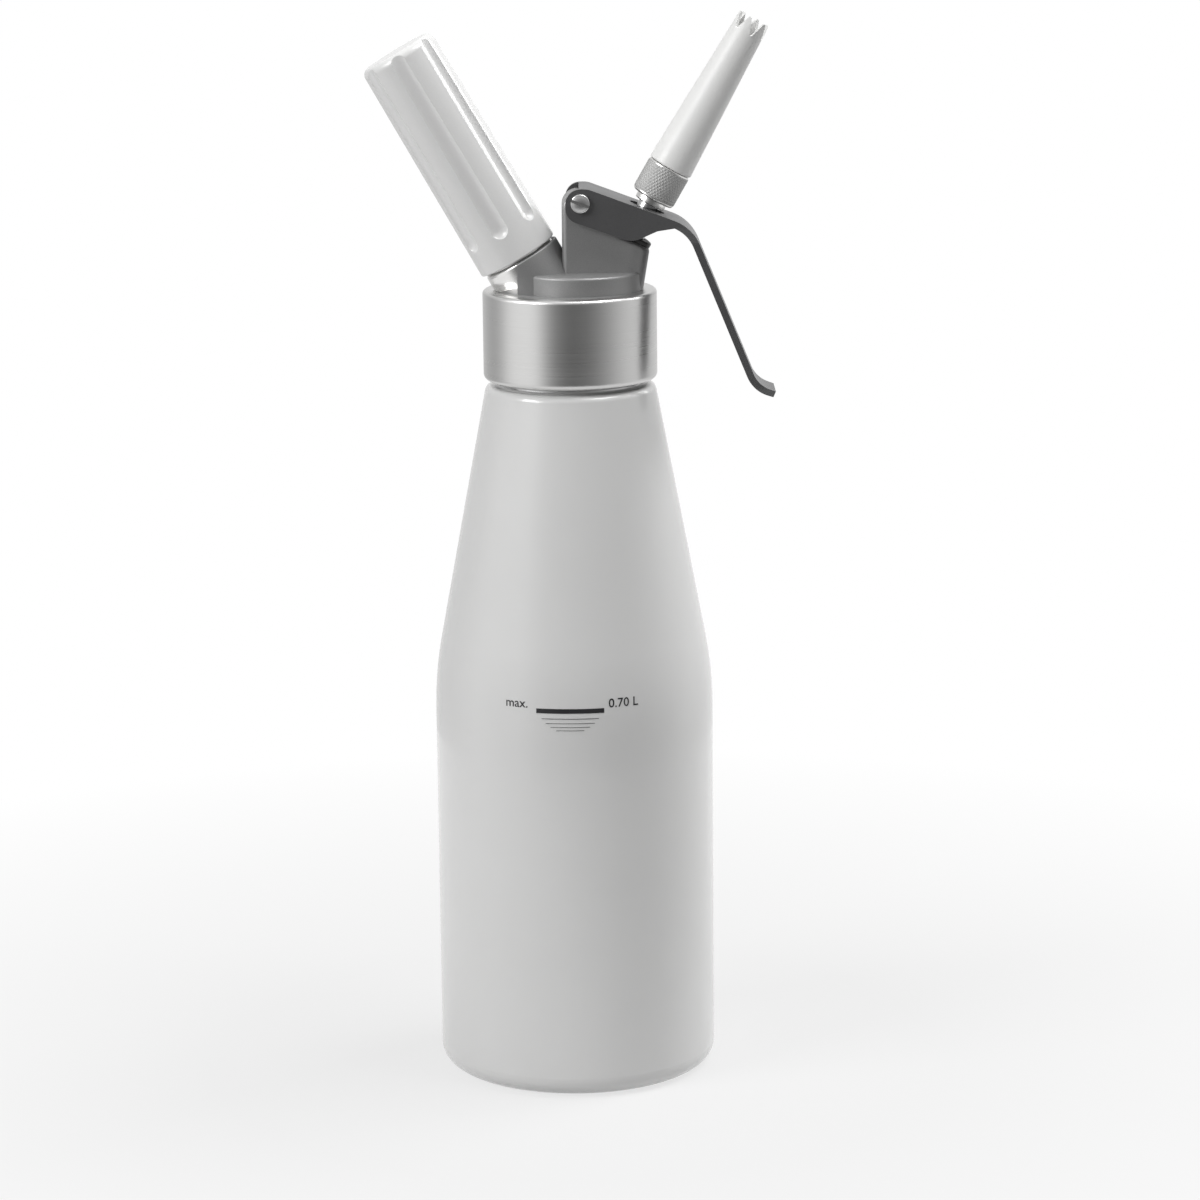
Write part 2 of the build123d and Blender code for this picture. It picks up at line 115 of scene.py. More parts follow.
# screw axis, radius of the wall, start and end along the axis, share of the depth, inner wall
THREADS = {
    "neck_thread": ("bottle", 23.4, 226.5, 240.5, 1.0, False),
    "collar_thread": ("bottle", 24.2, 226.5, 243.5, 0.9, True),
    "socket_thread": ("gas", 10.2, 33.2, 40.4, 1.0, False),
    "holder_thread": ("gas", 10.5, 34.2, 41.6, 0.9, True),
    "adaptor_thread": ("valve", 5.4, 65.0, 70.4, 0.9, False),
    "nozzle_thread": ("valve", 5.7, 66.0, 71.4, 0.7, True),
}

# points in one turn of a thread or of the spring
TURN_POINTS = 48

# the fill mark's thin lines: half width, drop below the thick line, and height of the line
THIN_LINES = (
    (9.0, 2.45, 0.15),
    (7.7, 3.9, 0.13),
    (6.2, 5.1, 0.11),
    (4.4, 6.15, 0.11),
)

# how far a line stands off the wall, and the points along it
LINE_RELIEF = 0.05
LINE_POINTS = 49

# the word starts this far left of the thick line, and the volume this far right of it
WORD_ROOM = 10.35
VOLUME_GAP = 1.4

# the letters' foot over the middle of the thick line, their middle over the wall, half their
# thickness, and how far their outline is moved outwards
LETTER_FOOT = 0.8
LETTER_LIFT = 0.03
LETTER_HALF = 0.02
LETTER_BOLD = 0.02

# middle of the flat face of the pivot screw's head
PIN_FACE = (3.6, -11.9, 281.4)


# ---------- settings ----------


def millimetres(name, text, default):
    """A length that a user may change, in millimetres."""
    return FloatProperty(name=name, description=text, default=default, precision=3)


def angle_setting(name, text, degrees):
    """An angle that a user may change; its default is given in degrees."""
    return FloatProperty(name=name, description=text, default=radians(degrees), subtype="ANGLE")


def strength(name, text, default):
    """The power of a light that a user may change."""
    return FloatProperty(name=name, description=text, default=default, min=0)


def part_of_one(name, text, default):
    """A share from 0 to 1 that a user may change."""
    return FloatProperty(
        name=name, description=text, default=default, min=0, max=1, subtype="FACTOR"
    )


def colour(name, text, value):
    """A colour that a user may change."""
    return FloatVectorProperty(
        name=name, description=text, default=value, size=3, subtype="COLOR", min=0, max=1
    )


class DispenserFinishes(bpy.types.PropertyGroup):
    """Colours and gloss of the pieces."""

    lacquer: colour("Lacquer", "Colour of the lacquer on the bottle", (0.75, 0.75, 0.745))
    lacquer_roughness: part_of_one("Lacquer roughness", "How matt the lacquer is", 0.24)
    brushed: colour("Brushed metal", "Colour of the collar's brushed metal", (0.63, 0.628, 0.622))
    casting: colour("Casting", "Colour of the blasted casting", (0.29, 0.29, 0.29))
    turned: colour("Turned metal", "Colour of the bright turned pieces", (0.78, 0.775, 0.765))
    knurled: colour("Knurled metal", "Colour of the knurled ring", (0.42, 0.42, 0.416))
    steel: colour("Steel", "Colour of the plain steel pieces", (0.55, 0.55, 0.55))
    lever: colour("Lever", "Colour of the lever's dark coating", (0.105, 0.105, 0.107))
    holder: colour("Holder", "Colour of the charger holder's plastic", (0.81, 0.81, 0.805))
    nozzle: colour("Nozzle", "Colour of the nozzle's plastic", (0.85, 0.85, 0.84))
    # black also colours the gland nut, where it is painted shade in the gap under the lever
    black: colour("Black", "Colour of the black plastic and rubber", (0.018, 0.018, 0.019))
    pale_rubber: colour("Pale rubber", "Colour of the head's gasket", (0.62, 0.62, 0.58))
    bronze: colour("Bronze", "Colour of the sintered filter", (0.42, 0.27, 0.13))
    ink: colour("Ink", "Colour of the fill mark's print", (0.012, 0.012, 0.014))


class DispenserThreads(bpy.types.PropertyGroup):
    """Sizes of the screw threads."""

    neck_pitch: millimetres("Neck pitch", "Rise of the neck's thread in one turn", 3.0)
    neck_depth: millimetres("Neck depth", "Height of the neck's thread", 0.55)
    small_pitch: millimetres("Small pitch", "Rise of the small threads in one turn", 2.0)
    small_depth: millimetres("Small depth", "Height of the small threads", 0.22)


class DispenserKnurl(bpy.types.PropertyGroup):
    """Sizes of the knurl on the adaptor's ring."""

    teeth: IntProperty(
        name="Teeth", description="Number of diamonds round the ring", default=42, min=12, max=80
    )
    depth: millimetres("Depth", "Height of the diamonds", 0.15)
    length: millimetres("Diamond length", "Length of a diamond along the axis", 1.7)


class DispenserMark(bpy.types.PropertyGroup):
    """The fill mark that is printed on the bottle."""

    height: millimetres("Height", "Height of the middle of the thick line", 126.85)
    half_width: millimetres("Half width", "Half the length of the thick line", 10.7)
    thickness: millimetres("Thickness", "Height of the thick line", 1.45)
    centre: millimetres("Centre", "Distance of the mark from the front line", -1.4)
    letter_height: millimetres("Letter size", "Size of the letters beside the line", 4.0)
    left_text: StringProperty(
        name="Left text", description="Words left of the line", default="max."
    )
    right_text: StringProperty(
        name="Right text", description="Volume right of the line", default="0.70 L"
    )


class DispenserStage(bpy.types.PropertyGroup):
    """Camera, floor and light."""

    distance: millimetres("Distance", "Distance of the camera in front of the bottle", 1345.0)
    height: millimetres("Height", "Height of the camera above the floor", 450.0)
    pitch: angle_setting("Pitch", "How far the camera looks down", 12.47)
    yaw: angle_setting("Yaw", "Turn of the camera to the left", -0.365)
    roll: angle_setting("Roll", "Roll of the camera to the left", -0.6)
    lens: millimetres("Lens", "Focal length on a 36 mm sensor", 129.0)
    floor_radius: millimetres("Floor radius", "Radius of the floor", 450.0)
    world: strength("World", "Strength of the room's light", 0.19)
    key: strength("Key", "Power of the key light in watts", 13.5)
    rim: strength("Rim", "Power of the light behind, in watts", 10.0)
    top: strength("Top", "Power of the top light in watts", 12.0)


# ---------- meshes ----------


def turned(axis, angle, radius, along):
    """Points round a screw axis: origin + radius (cos angle front + sin angle side) + along axis.

    angle, radius and along are arrays of one shape, in radians and millimetres.
    """
    origin, front, side, up = AXES[axis]
    angle, radius, along = np.broadcast_arrays(angle, radius, along)
    across = np.cos(angle)[..., None] * front + np.sin(angle)[..., None] * side
    return origin + MM * (radius[..., None] * across + along[..., None] * up)


def grid_piece(name, points, round_trip=False, caps=False, sharp=40):
    """Closed mesh of a grid of sections: quads between neighbouring points, each section a loop.

    round_trip joins the last section to the first; caps closes the two end sections instead.
    """
    count, width = points.shape[:2]
    index = np.arange(count * width).reshape(count, width)
    near = index if round_trip else index[:-1]
    far = np.roll(index, -1, 0) if round_trip else index[1:]
    quads = np.stack([near, far, np.roll(far, -1, 1), np.roll(near, -1, 1)], -1)
    faces = quads.reshape(-1, 4).tolist()
    if caps:
        faces += [index[0].tolist(), index[-1][::-1].tolist()]
    mesh = bpy.data.meshes.new(name)
    mesh.from_pydata(points.reshape(-1, 3), [], faces)
    return mesh_piece(name, mesh, sharp)


def mesh_piece(name, mesh, sharp):
    """Object at the origin for a closed mesh, its faces turned outwards and its soft edges smooth.

    Edges that turn by more than sharp degrees stay sharp.
    """
    work = bmesh.new()
    work.from_mesh(mesh)
    bmesh.ops.remove_doubles(work, verts=work.verts, dist=1e-7)
    bmesh.ops.recalc_face_normals(work, faces=work.faces)
    work.to_mesh(mesh)
    work.free()
    mesh.shade_smooth()
    mesh.set_sharp_from_angle(angle=radians(sharp))
    piece = bpy.data.objects.new(name, mesh)
    bpy.context.scene.collection.objects.link(piece)
    return piece


def thread(name, pitch, depth):
    """Screw thread: a section carried up a helix, along = start + pitch angle / 2 pi.

    The section is a low trapezium on the wall, and its height fades to nothing over the first
    and last sixth of a turn. A thread on an inner wall stands inwards.
    """
    axis, radius, start, end, share, inner = THREADS[name]
    turns = (end - start) / pitch
    angle = np.linspace(0, 2 * pi * turns, int(TURN_POINTS * turns) + 1)[:, None]
    run_out = np.clip(np.minimum(angle, 2 * pi * turns - angle) / (pi / 3), 0, 1)
    fade = run_out**2 * (3 - 2 * run_out)
    foot, crest = HALF_FOOT * pitch, HALF_CREST * pitch
    rise = np.array([-FOOT_SUNK, 0.0, 1.0, 1.0, 0.0, -FOOT_SUNK])[None] * (depth * share)
    rise = np.where(rise > 0, rise * fade, rise)
    shift = np.array([-foot, -foot, -crest, crest, foot, foot])[None]
    out = radius + (-rise if inner else rise)
    along = start + pitch * angle / (2 * pi) + shift
    return grid_piece(name, turned(axis, angle, out, along), caps=True, sharp=35)


def bottle_radius(height):
    """Outer radius of the bottle at a height, all in millimetres.

    A cylinder, then an arc that bends it inwards, then a straight cone. The arc touches both, so
    it starts arc tan(lean / 2) below their corner and is arc sin(lean) high.
    """
    lean = atan((BODY_RADIUS - SHOULDER_RADIUS) / (SHOULDER_HEIGHT - CORNER_HEIGHT))
    low = CORNER_HEIGHT - CORNER_ARC * np.tan(lean / 2)
    high = low + CORNER_ARC * sin(lean)
    climbed = np.clip(height - low, 0, high - low)
    arc = BODY_RADIUS - CORNER_ARC + np.sqrt(CORNER_ARC**2 - climbed**2)
    return arc - np.clip(height - high, 0, None) * np.tan(lean)


def on_bottle(flat):
    """Wraps flat points (x right, y up, z out, in millimetres) round the front of the bottle.

    angle = x / radius at that height, and the point stands z off the wall.
    """
    radius = bottle_radius(flat[..., 1])
    return turned("bottle", flat[..., 0] / radius, radius + flat[..., 2], flat[..., 1])


# ---------- materials ----------


def feed(tree, value, socket):
    """Gives a socket another node's output, or a number or colour."""
    if isinstance(value, bpy.types.NodeSocket):
        tree.links.new(value, socket)
    else:
        socket.default_value = value


def smooth_noise(tree, coordinates, scale, detail, roughness=0.5):
    """Noise texture on the given coordinates."""
    noise = tree.nodes.new("ShaderNodeTexNoise")
    noise.inputs["Scale"].default_value = scale
    noise.inputs["Detail"].default_value = detail
    noise.inputs["Roughness"].default_value = roughness
    tree.links.new(coordinates, noise.inputs["Vector"])
    return noise.outputs["Fac"]


def remap(tree, value, low, high, start=0.3, stop=0.7):
    """Maps value from start..stop to low..high, held at both ends."""
    node = tree.nodes.new("ShaderNodeMapRange")
    for socket, number in zip(node.inputs[1:5], (start, stop, low, high)):
        socket.default_value = number
    tree.links.new(value, node.inputs["Value"])
    return node.outputs["Result"]


def calculate(tree, operation, first, second):
    """One step of arithmetic on sockets or numbers."""
    node = tree.nodes.new("ShaderNodeMath")
    node.operation = operation
    feed(tree, first, node.inputs[0])
    feed(tree, second, node.inputs[1])
    return node.outputs[0]


def mix_colours(tree, share, first, second):
    """Colour that goes from first to second with share; each is a socket or a colour."""
    mix = tree.nodes.new("ShaderNodeMix")
    mix.data_type = "RGBA"
    tree.links.new(share, mix.inputs["Factor"])
    feed(tree, first, mix.inputs["A"])
    feed(tree, second, mix.inputs["B"])
    return mix.outputs["Result"]


def mix_shaders(tree, share, first, second):
    """Shader that goes from first to second with share."""
    mix = tree.nodes.new("ShaderNodeMixShader")
    for output, socket in zip((share, first, second), mix.inputs):
        tree.links.new(output, socket)
    return mix.outputs[0]


def split(tree, coordinates):
    """The three parts of some coordinates."""
    parts = tree.nodes.new("ShaderNodeSeparateXYZ")
    tree.links.new(coordinates, parts.inputs[0])
    return parts.outputs


def object_point(tree):
    """Object coordinates, in metres."""
    return tree.nodes.new("ShaderNodeTexCoord").outputs["Object"]


def along_axis(tree, axis):
    """Coordinates stretched round a screw axis: (height along it, little of x, little of y)."""
    share_of_xy = 0.006
    point = object_point(tree)
    dot = tree.nodes.new("ShaderNodeVectorMath")
    dot.operation = "DOT_PRODUCT"
    dot.inputs[1].default_value = AXES[axis].up
    tree.links.new(point, dot.inputs[0])
    little = tree.nodes.new("ShaderNodeVectorMath")
    little.operation = "SCALE"
    little.inputs["Scale"].default_value = share_of_xy
    tree.links.new(point, little.inputs[0])
    x, y = split(tree, little.outputs[0])[:2]
    joined = tree.nodes.new("ShaderNodeCombineXYZ")
    for output, socket in zip((dot.outputs["Value"], x, y), joined.inputs):
        tree.links.new(output, socket)
    return joined.outputs[0]


def rays(tree, *kinds):
    """1 for a ray of one of the given kinds of Light Path, and 0 for any other."""
    path = tree.nodes.new("ShaderNodeLightPath")
    found = path.outputs[kinds[0]]
    for kind in kinds[1:]:
        found = calculate(tree, "MAXIMUM", found, path.outputs[kind])
    return found


def finish(name, tint, metallic, roughness, **constants):
    """Material with one Principled shader; returns it, its node tree and the shader.

    A constant is called as its socket is, in small letters and with _ between the words.
    """
    material = bpy.data.materials.new(name)
    material.use_nodes = True
    material.diffuse_color = (*tint, 1)
    shader = material.node_tree.nodes["Principled BSDF"]
    shader.inputs["Base Color"].default_value = (*tint, 1)
    shader.inputs["Metallic"].default_value = metallic
    shader.inputs["Roughness"].default_value = roughness
    for constant, number in constants.items():
        socket = constant.replace("_", " ").title().replace("Ior", "IOR")
        shader.inputs[socket].default_value = number
    return material, material.node_tree, shader


def shade(tree, shader, tint, noise, low, high):
    """Colour that goes from tint x low to tint x high with the noise; returns its socket."""
    dark = (*[part * low for part in tint], 1)
    light = (*[min(part * high, 1) for part in tint], 1)
    shaded = mix_colours(tree, remap(tree, noise, 0, 1), dark, light)
    tree.links.new(shaded, shader.inputs["Base Color"])
    return shaded


def gloss(tree, shader, noise, roughness, spread):
    """Roughness that goes by spread to either side with the noise; returns its socket."""
    rough = remap(tree, noise, roughness - spread, roughness + spread)
    tree.links.new(rough, shader.inputs["Roughness"])
    return rough


def relief(tree, shader, noise, depth):
    """Bump of the given depth in millimetres."""
    bump = tree.nodes.new("ShaderNodeBump")
    bump.inputs["Distance"].default_value = depth * MM
    tree.links.new(noise, bump.inputs["Height"])
    tree.links.new(bump.outputs["Normal"], shader.inputs["Normal"])


def grained(
    name, tint, grain, depth, roughness, metallic=0.0, spread=0.06, tone=0.04, **constants
):
    """Material with a fine even grain: size of the grain and its depth in millimetres.

    Roughness and colour vary by spread and by the share tone to either side.
    """
    material, tree, shader = finish(name, tint, metallic, roughness, **constants)
    point = object_point(tree)
    fine = smooth_noise(tree, point, scale=1 / (grain * MM), detail=3)
    broad = smooth_noise(tree, point, scale=60, detail=2)
    gloss(tree, shader, broad, roughness, spread)
    shade(tree, shader, tint, fine, 1 - tone, 1 + tone)
    relief(tree, shader, fine, depth)
    return material


def lathe_turned(name, tint, axis, line, depth, roughness, spread=0.08, tone=0.05):
    """Metal with fine rings round a screw axis: spacing of the lines and depth in millimetres.

    The roughness varies in bands of about five lines.
    """
    material, tree, shader = finish(name, tint, metallic=1.0, roughness=roughness)
    stretched = along_axis(tree, axis)
    lines = smooth_noise(tree, stretched, scale=1 / (line * MM), detail=4, roughness=0.6)
    bands = smooth_noise(tree, stretched, scale=0.2 / (line * MM), detail=2)
    gloss(tree, shader, bands, roughness, spread)
    shade(tree, shader, tint, lines, 1 - tone, 1 + tone)
    relief(tree, shader, lines, depth)
    return material


def dress(node, material):
    """Gives a CAD node its finish, on the object's own material slots."""
    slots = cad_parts[node].material_slots
    if not slots:
        raise RuntimeError(f"{node} has no material slot")
    for entry in slots:
        entry.link = "OBJECT"
        entry.material = material


def settle(piece, material, body):
    """Gives a new piece its finish and the body it moves with."""
    piece.data.materials.append(material)
    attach(piece, body)


# ---------- pieces ----------


class DISPENSER_OT_bottle(bpy.types.Operator):
    """Lacquers the bottle, leaves its neck bare, adds the neck's thread, finishes the gasket"""

    bl_idname = "dispenser.bottle"
    bl_label = "Bottle"

    def execute(self, context):
        looks, sizes = context.scene.dispenser_finishes, context.scene.dispenser_threads
        dress("bottle", self.lacquer(looks))
        steel = lathe_turned(
            "neck_metal", looks.steel, "bottle", line=0.12, depth=0.01, roughness=0.36
        )
        neck_thread = thread("neck_thread", sizes.neck_pitch, sizes.neck_depth)
        settle(neck_thread, steel, "bottle")
        dress("head_gasket", grained(
            "pale_rubber", looks.pale_rubber, grain=0.3, depth=0.01, roughness=0.5,
            subsurface_weight=0.1, subsurface_scale=0.002,
        ))
        return {"FINISHED"}

    def lacquer(self, looks):
        """White lacquer with a faint orange peel, and bare steel above the lacquer's end."""
        material, tree, shader = finish(
            "white_lacquer", looks.lacquer, metallic=0.0, roughness=looks.lacquer_roughness,
            coat_weight=0.6, coat_roughness=0.06,
        )
        steel_roughness = 0.38
        point = object_point(tree)
        height = split(tree, point)[2]
        bare = calculate(tree, "GREATER_THAN", height, LACQUER_END * MM)
        tree.links.new(bare, shader.inputs["Metallic"])

        broad = smooth_noise(tree, point, scale=25, detail=2)
        lacquered = shade(tree, shader, looks.lacquer, broad, low=0.985, high=1.01)
        either = mix_colours(tree, bare, lacquered, (*looks.steel, 1))
        tree.links.new(either, shader.inputs["Base Color"])

        rough = gloss(tree, shader, broad, looks.lacquer_roughness, spread=0.03)
        bare_rough = calculate(tree, "MULTIPLY", bare, steel_roughness)
        rough = calculate(tree, "MAXIMUM", rough, bare_rough)
        tree.links.new(rough, shader.inputs["Roughness"])

        peel = smooth_noise(tree, point, scale=700, detail=2)
        relief(tree, shader, peel, depth=0.012)
        return material


class DISPENSER_OT_fill_mark(bpy.types.Operator):
    """Prints the fill mark on the front of the bottle: lines, the word and the volume"""

    bl_idname = "dispenser.fill_mark"
    bl_label = "Fill mark"

    def execute(self, context):
        looks, mark = context.scene.dispenser_finishes, context.scene.dispenser_mark
        ink = grained("print_ink", looks.ink, grain=0.2, depth=0.004, roughness=0.42)
        lines = ((mark.half_width, 0.0, mark.thickness), *THIN_LINES)
        for number, (half, drop, tall) in enumerate(lines):
            line = self.line(f"fill_line_{number}", mark, half, drop, tall)
            settle(line, ink, "bottle")
        word_start = mark.centre - mark.half_width - WORD_ROOM
        volume_start = mark.centre + mark.half_width + VOLUME_GAP
        for name, text, start in (
            ("fill_word", mark.left_text, word_start),
            ("fill_volume", mark.right_text, volume_start),
        ):
            letters = self.letters(name, text, start, mark)
            settle(letters, ink, "bottle")
        return {"FINISHED"}

    def line(self, name, mark, half, drop, tall):
        """Line of the mark: a rectangle carried from -half to half, wrapped on the bottle."""
        x = np.linspace(mark.centre - half, mark.centre + half, LINE_POINTS)[:, None]
        y = mark.height - drop + np.array([-0.5, -0.5, 0.5, 0.5])[None] * tall
        z = np.array([0.0, LINE_RELIEF, LINE_RELIEF, 0.0])[None]
        flat = np.stack(np.broadcast_arrays(x, y, z), -1)
        return grid_piece(name, on_bottle(flat), caps=True)

    def letters(self, name, text, start, mark):
        """Flat letters with a little thickness, wrapped on the bottle."""
        curve = bpy.data.curves.new(name, "FONT")
        curve.body = text
        curve.size = mark.letter_height
        curve.extrude = LETTER_HALF
        curve.offset = LETTER_BOLD
        curve.resolution_u = 3
        maker = bpy.data.objects.new(name + "_maker", curve)
        bpy.context.scene.collection.objects.link(maker)
        mesh = bpy.data.meshes.new_from_object(
            maker.evaluated_get(bpy.context.evaluated_depsgraph_get())
        )
        bpy.data.objects.remove(maker)
        bpy.data.curves.remove(curve)
        flat = np.empty(len(mesh.vertices) * 3)
        mesh.vertices.foreach_get("co", flat)
        flat = flat.reshape(-1, 3)
        flat += (start, mark.height + LETTER_FOOT, LETTER_LIFT)
        mesh.vertices.foreach_set("co", on_bottle(flat).ravel())
        mesh.materials.clear()
        return mesh_piece(name, mesh, sharp=60)


class DISPENSER_OT_head(bpy.types.Operator):
    """Finishes the head's pieces, with the collar's thread, the spring and the screw's face"""

    bl_idname = "dispenser.head"
    bl_label = "Head"

    def execute(self, context):
        looks, sizes = context.scene.dispenser_finishes, context.scene.dispenser_threads
        self.collar(looks, sizes)
        dress("head_casting", grained(
            "cast_aluminium", looks.casting, grain=0.22, depth=0.02, roughness=0.45,
            metallic=0.5, spread=0.05, tone=0.1,
        ))
        dress("lever", grained(
            "lever_metal", looks.lever, grain=0.3, depth=0.01, roughness=0.4, metallic=0.35,
            spread=0.05, tone=0.06, coat_weight=0.06, coat_roughness=0.3,
        ))
        self.plain_steel(looks)
        self.inside(looks)
        return {"FINISHED"}

    def collar(self, looks, sizes):
        """The brushed collar and the thread in it."""
        brushed = lathe_turned(
            "brushed_metal", looks.brushed, "bottle", line=0.08, depth=0.003, roughness=0.3,
            spread=0.03, tone=0.035,
        )
        dress("threaded_collar", brushed)
        collar_thread = thread("collar_thread", sizes.neck_pitch, sizes.neck_depth)
        settle(collar_thread, brushed, "head")

    def plain_steel(self, looks):
        """The pivot screw with its domed face, its nut, and the spring."""
        steel = grained(
            "steel", looks.steel, grain=0.15, depth=0.005, roughness=0.3, metallic=1.0,
            spread=0.08, tone=0.05,
        )
        for node in ("lever_pin", "lever_pin_nut", "valve_spring"):
            dress(node, steel)
        spring = self.spring()
        settle(spring, steel, "head")
        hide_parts("valve_spring")
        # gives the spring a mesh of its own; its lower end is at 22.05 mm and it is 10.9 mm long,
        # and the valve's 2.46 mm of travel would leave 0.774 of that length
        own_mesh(spring)
        for name, side in (("pin_dome_upper", 1), ("pin_dome_lower", -1)):
            settle(self.pin_dome(name, side), steel, "head")

    def inside(self, looks):
        """The valve stem, the piercing pin, the gland nut, the seals and the filter."""
        stem = lathe_turned(
            "stem_steel", looks.steel, "valve", line=0.1, depth=0.006, roughness=0.22
        )
        dress("valve_stem", stem)
        dress("valve_nut", stem)
        dress("piercing_pin", lathe_turned(
            "pin_steel", looks.steel, "gas", line=0.1, depth=0.006, roughness=0.25
        ))
        # painted shade: the gland nut is black to stand for the shade in the gap between the lever
        # and the valve's boss
        dress("gland_nut", grained(
            "black_plastic", looks.black, grain=0.25, depth=0.012, roughness=0.45
        ))
        rubber = grained("black_rubber", looks.black, grain=0.2, depth=0.02, roughness=0.62)
        for node in ("charger_seal", "check_valve", "stem_seal", "valve_gasket", "nozzle_seal"):
            dress(node, rubber)
        dress("gas_filter", grained(
            "filter_bronze", looks.bronze, grain=0.18, depth=0.06, roughness=0.55,
            metallic=0.9, spread=0.05, tone=0.25,
        ))

    def pin_dome(self, name, side):
        """Half of the pivot screw's domed face, on one side of its slot.

        The face is part of a ball, height = sqrt(ball^2 - u^2 - v^2) - (ball - rise), with u along
        the slot and v across it, from the slot to the rim. It is closed by a flat back that lies
        in the head of the screw. Its two ends stop a little short of the point where the slot
        meets the rim, so that they keep a width.
        """
        rim, half_slot, slot_turn = 2.5, 0.47, radians(20)
        rise, sunk = 0.45, 0.05
        columns, rows, reach = 33, 13, 0.995
        ball = (rim**2 + rise**2) / (2 * rise)
        u = np.linspace(-reach, reach, columns)[:, None] * np.sqrt(rim**2 - half_slot**2)
        v = half_slot + (np.sqrt(rim**2 - u**2) - half_slot) * np.linspace(0, 1, rows)[None]
        height = np.sqrt(ball**2 - u**2 - v**2) - (ball - rise)
        height = np.hstack([height, np.full((len(u), 2), -sunk)])
        v = side * np.hstack([v, v[:, -1:], v[:, :1]])
        middle_x, face_y, middle_z = PIN_FACE
        x = middle_x + u * cos(slot_turn) + v * sin(slot_turn)
        y = face_y - height
        z = middle_z - u * sin(slot_turn) + v * cos(slot_turn)
        points = MM * np.stack(np.broadcast_arrays(x, y, z), -1)
        return grid_piece(name, points, caps=True)

    def spring(self):
        """Valve spring: a wire round a helix that climbs evenly from low to high.

        The wire's section lies in the plane of the axis: radius + wire cos t, along + wire sin t.
        """
        wire, wire_points = 0.45, 12
        radius, turns = 4.95, 5
        low, high = 22.5, 32.5
        angle = np.linspace(0, 2 * pi * turns, TURN_POINTS * turns + 1)[:, None]
        section = np.linspace(0, 2 * pi, wire_points, endpoint=False)[None]
        along = low + (high - low) * angle / (2 * pi * turns) + wire * np.sin(section)
        points = turned("valve", angle, radius + wire * np.cos(section), along)
        return grid_piece("pressed_spring", points, caps=True)


class DISPENSER_OT_gas_side(bpy.types.Operator):
    """Finishes the socket, the gas charger and the holder, with the threads between them"""

    bl_idname = "dispenser.gas_side"
    bl_label = "Gas side"

    def execute(self, context):
        looks, sizes = context.scene.dispenser_finishes, context.scene.dispenser_threads
        turned_metal = lathe_turned(
            "socket_metal", looks.turned, "gas", line=0.14, depth=0.008, roughness=0.2
        )
        dress("charger_socket", turned_metal)
        socket_thread = thread("socket_thread", sizes.small_pitch, sizes.small_depth)
        settle(socket_thread, turned_metal, "head")
        dress("gas_charger", lathe_turned(
            "charger_steel", looks.steel, "gas", line=0.3, depth=0.01, roughness=0.3,
            spread=0.06, tone=0.04,
        ))
        plastic = grained(
            "white_plastic", looks.holder, grain=0.5, depth=0.003, roughness=0.2, tone=0.012
        )
        dress("charger_holder", plastic)
        holder_thread = thread("holder_thread", sizes.small_pitch, sizes.small_depth)
        settle(holder_thread, plastic, "charger_holder")
        return {"FINISHED"}


class DISPENSER_OT_valve_side(bpy.types.Operator):
    """Finishes the washer, the adaptor and the nozzle, with the threads and the ring's knurl"""

    bl_idname = "dispenser.valve_side"
    bl_label = "Valve side"

    def execute(self, context):
        looks, sizes = context.scene.dispenser_finishes, context.scene.dispenser_threads
        turned_metal = lathe_turned(
            "adaptor_metal", looks.turned, "valve", line=0.12, depth=0.006, roughness=0.2
        )
        dress("thrust_washer", turned_metal)
        dress("knurled_adaptor", turned_metal)
        rolled = grained(
            "knurled_metal", looks.knurled, grain=0.3, depth=0.01, roughness=0.68, metallic=1.0,
            tone=0.12,
        )
        settle(self.knurl(context.scene.dispenser_knurl), rolled, "valve")
        adaptor_thread = thread("adaptor_thread", sizes.small_pitch, sizes.small_depth)
        settle(adaptor_thread, turned_metal, "valve")
        plastic = grained(
            "nozzle_plastic", looks.nozzle, grain=0.5, depth=0.006, roughness=0.38, tone=0.012
        )
        dress("star_nozzle", plastic)
        nozzle_thread = thread("nozzle_thread", sizes.small_pitch, sizes.small_depth)
        settle(nozzle_thread, plastic, "nozzle")
        return {"FINISHED"}

    def knurl(self, sizes):
        """Sleeve of blunt pyramids: wall + depth min(1, steepness (1 - max(tri u, tri v))).

        u and v are the two crossing spirals, teeth angle / 2 pi plus and minus along / length, and
        tri is a wave between 1 on their lines and 0 between them. The pyramids fade out at both
        ends over the length fade. The inner wall, of radius hidden, lies within the ring.
        """
        low, high, fade = 53.5, 63.2, 0.4
        wall, hidden, steepness = 6.94, 6.6, 1.5
        steps, rows = 8 * sizes.teeth, 66
        angle = np.linspace(0, 2 * pi, steps, endpoint=False)[:, None]
        along = np.linspace(low, high, rows)[None]
        first = sizes.teeth * angle / (2 * pi) + along / sizes.length
        second = sizes.teeth * angle / (2 * pi) - along / sizes.length
        line = [2 * np.abs(way - np.floor(way) - 0.5) for way in (first, second)]
        height = 1 - np.maximum(*line)
        edge = np.clip(np.minimum(along - low, high - along) / fade, 0, 1)
        radius = wall + sizes.depth * np.clip(steepness * height, 0, 1) * edge
        ends = np.full((len(angle), 1), hidden)
        radius = np.hstack([ends, radius, ends])
        along = np.hstack([[[low]], along, [[high]]])
        return grid_piece(
            "adaptor_knurl", turned("valve", angle, radius, along), round_trip=True, sharp=25
        )


# ---------- stage ----------

WHITE = (1, 1, 1, 1)

# grey that glossy pieces see of the room, by degrees from the front, positive to the valve's side
ROOM_GREYS = {
    -180: 0.95,
    -135: 0.5,
    -110: 0.45,
    -88: 0.9,
    -63: 1.9,
    -44: 0.9,
    -25: 0.2,
    0: 0.12,
    20: 0.15,
    45: 0.35,
    70: 0.7,
    99: 0.95,
    120: 0.8,
    145: 0.8,
    180: 0.95,
}


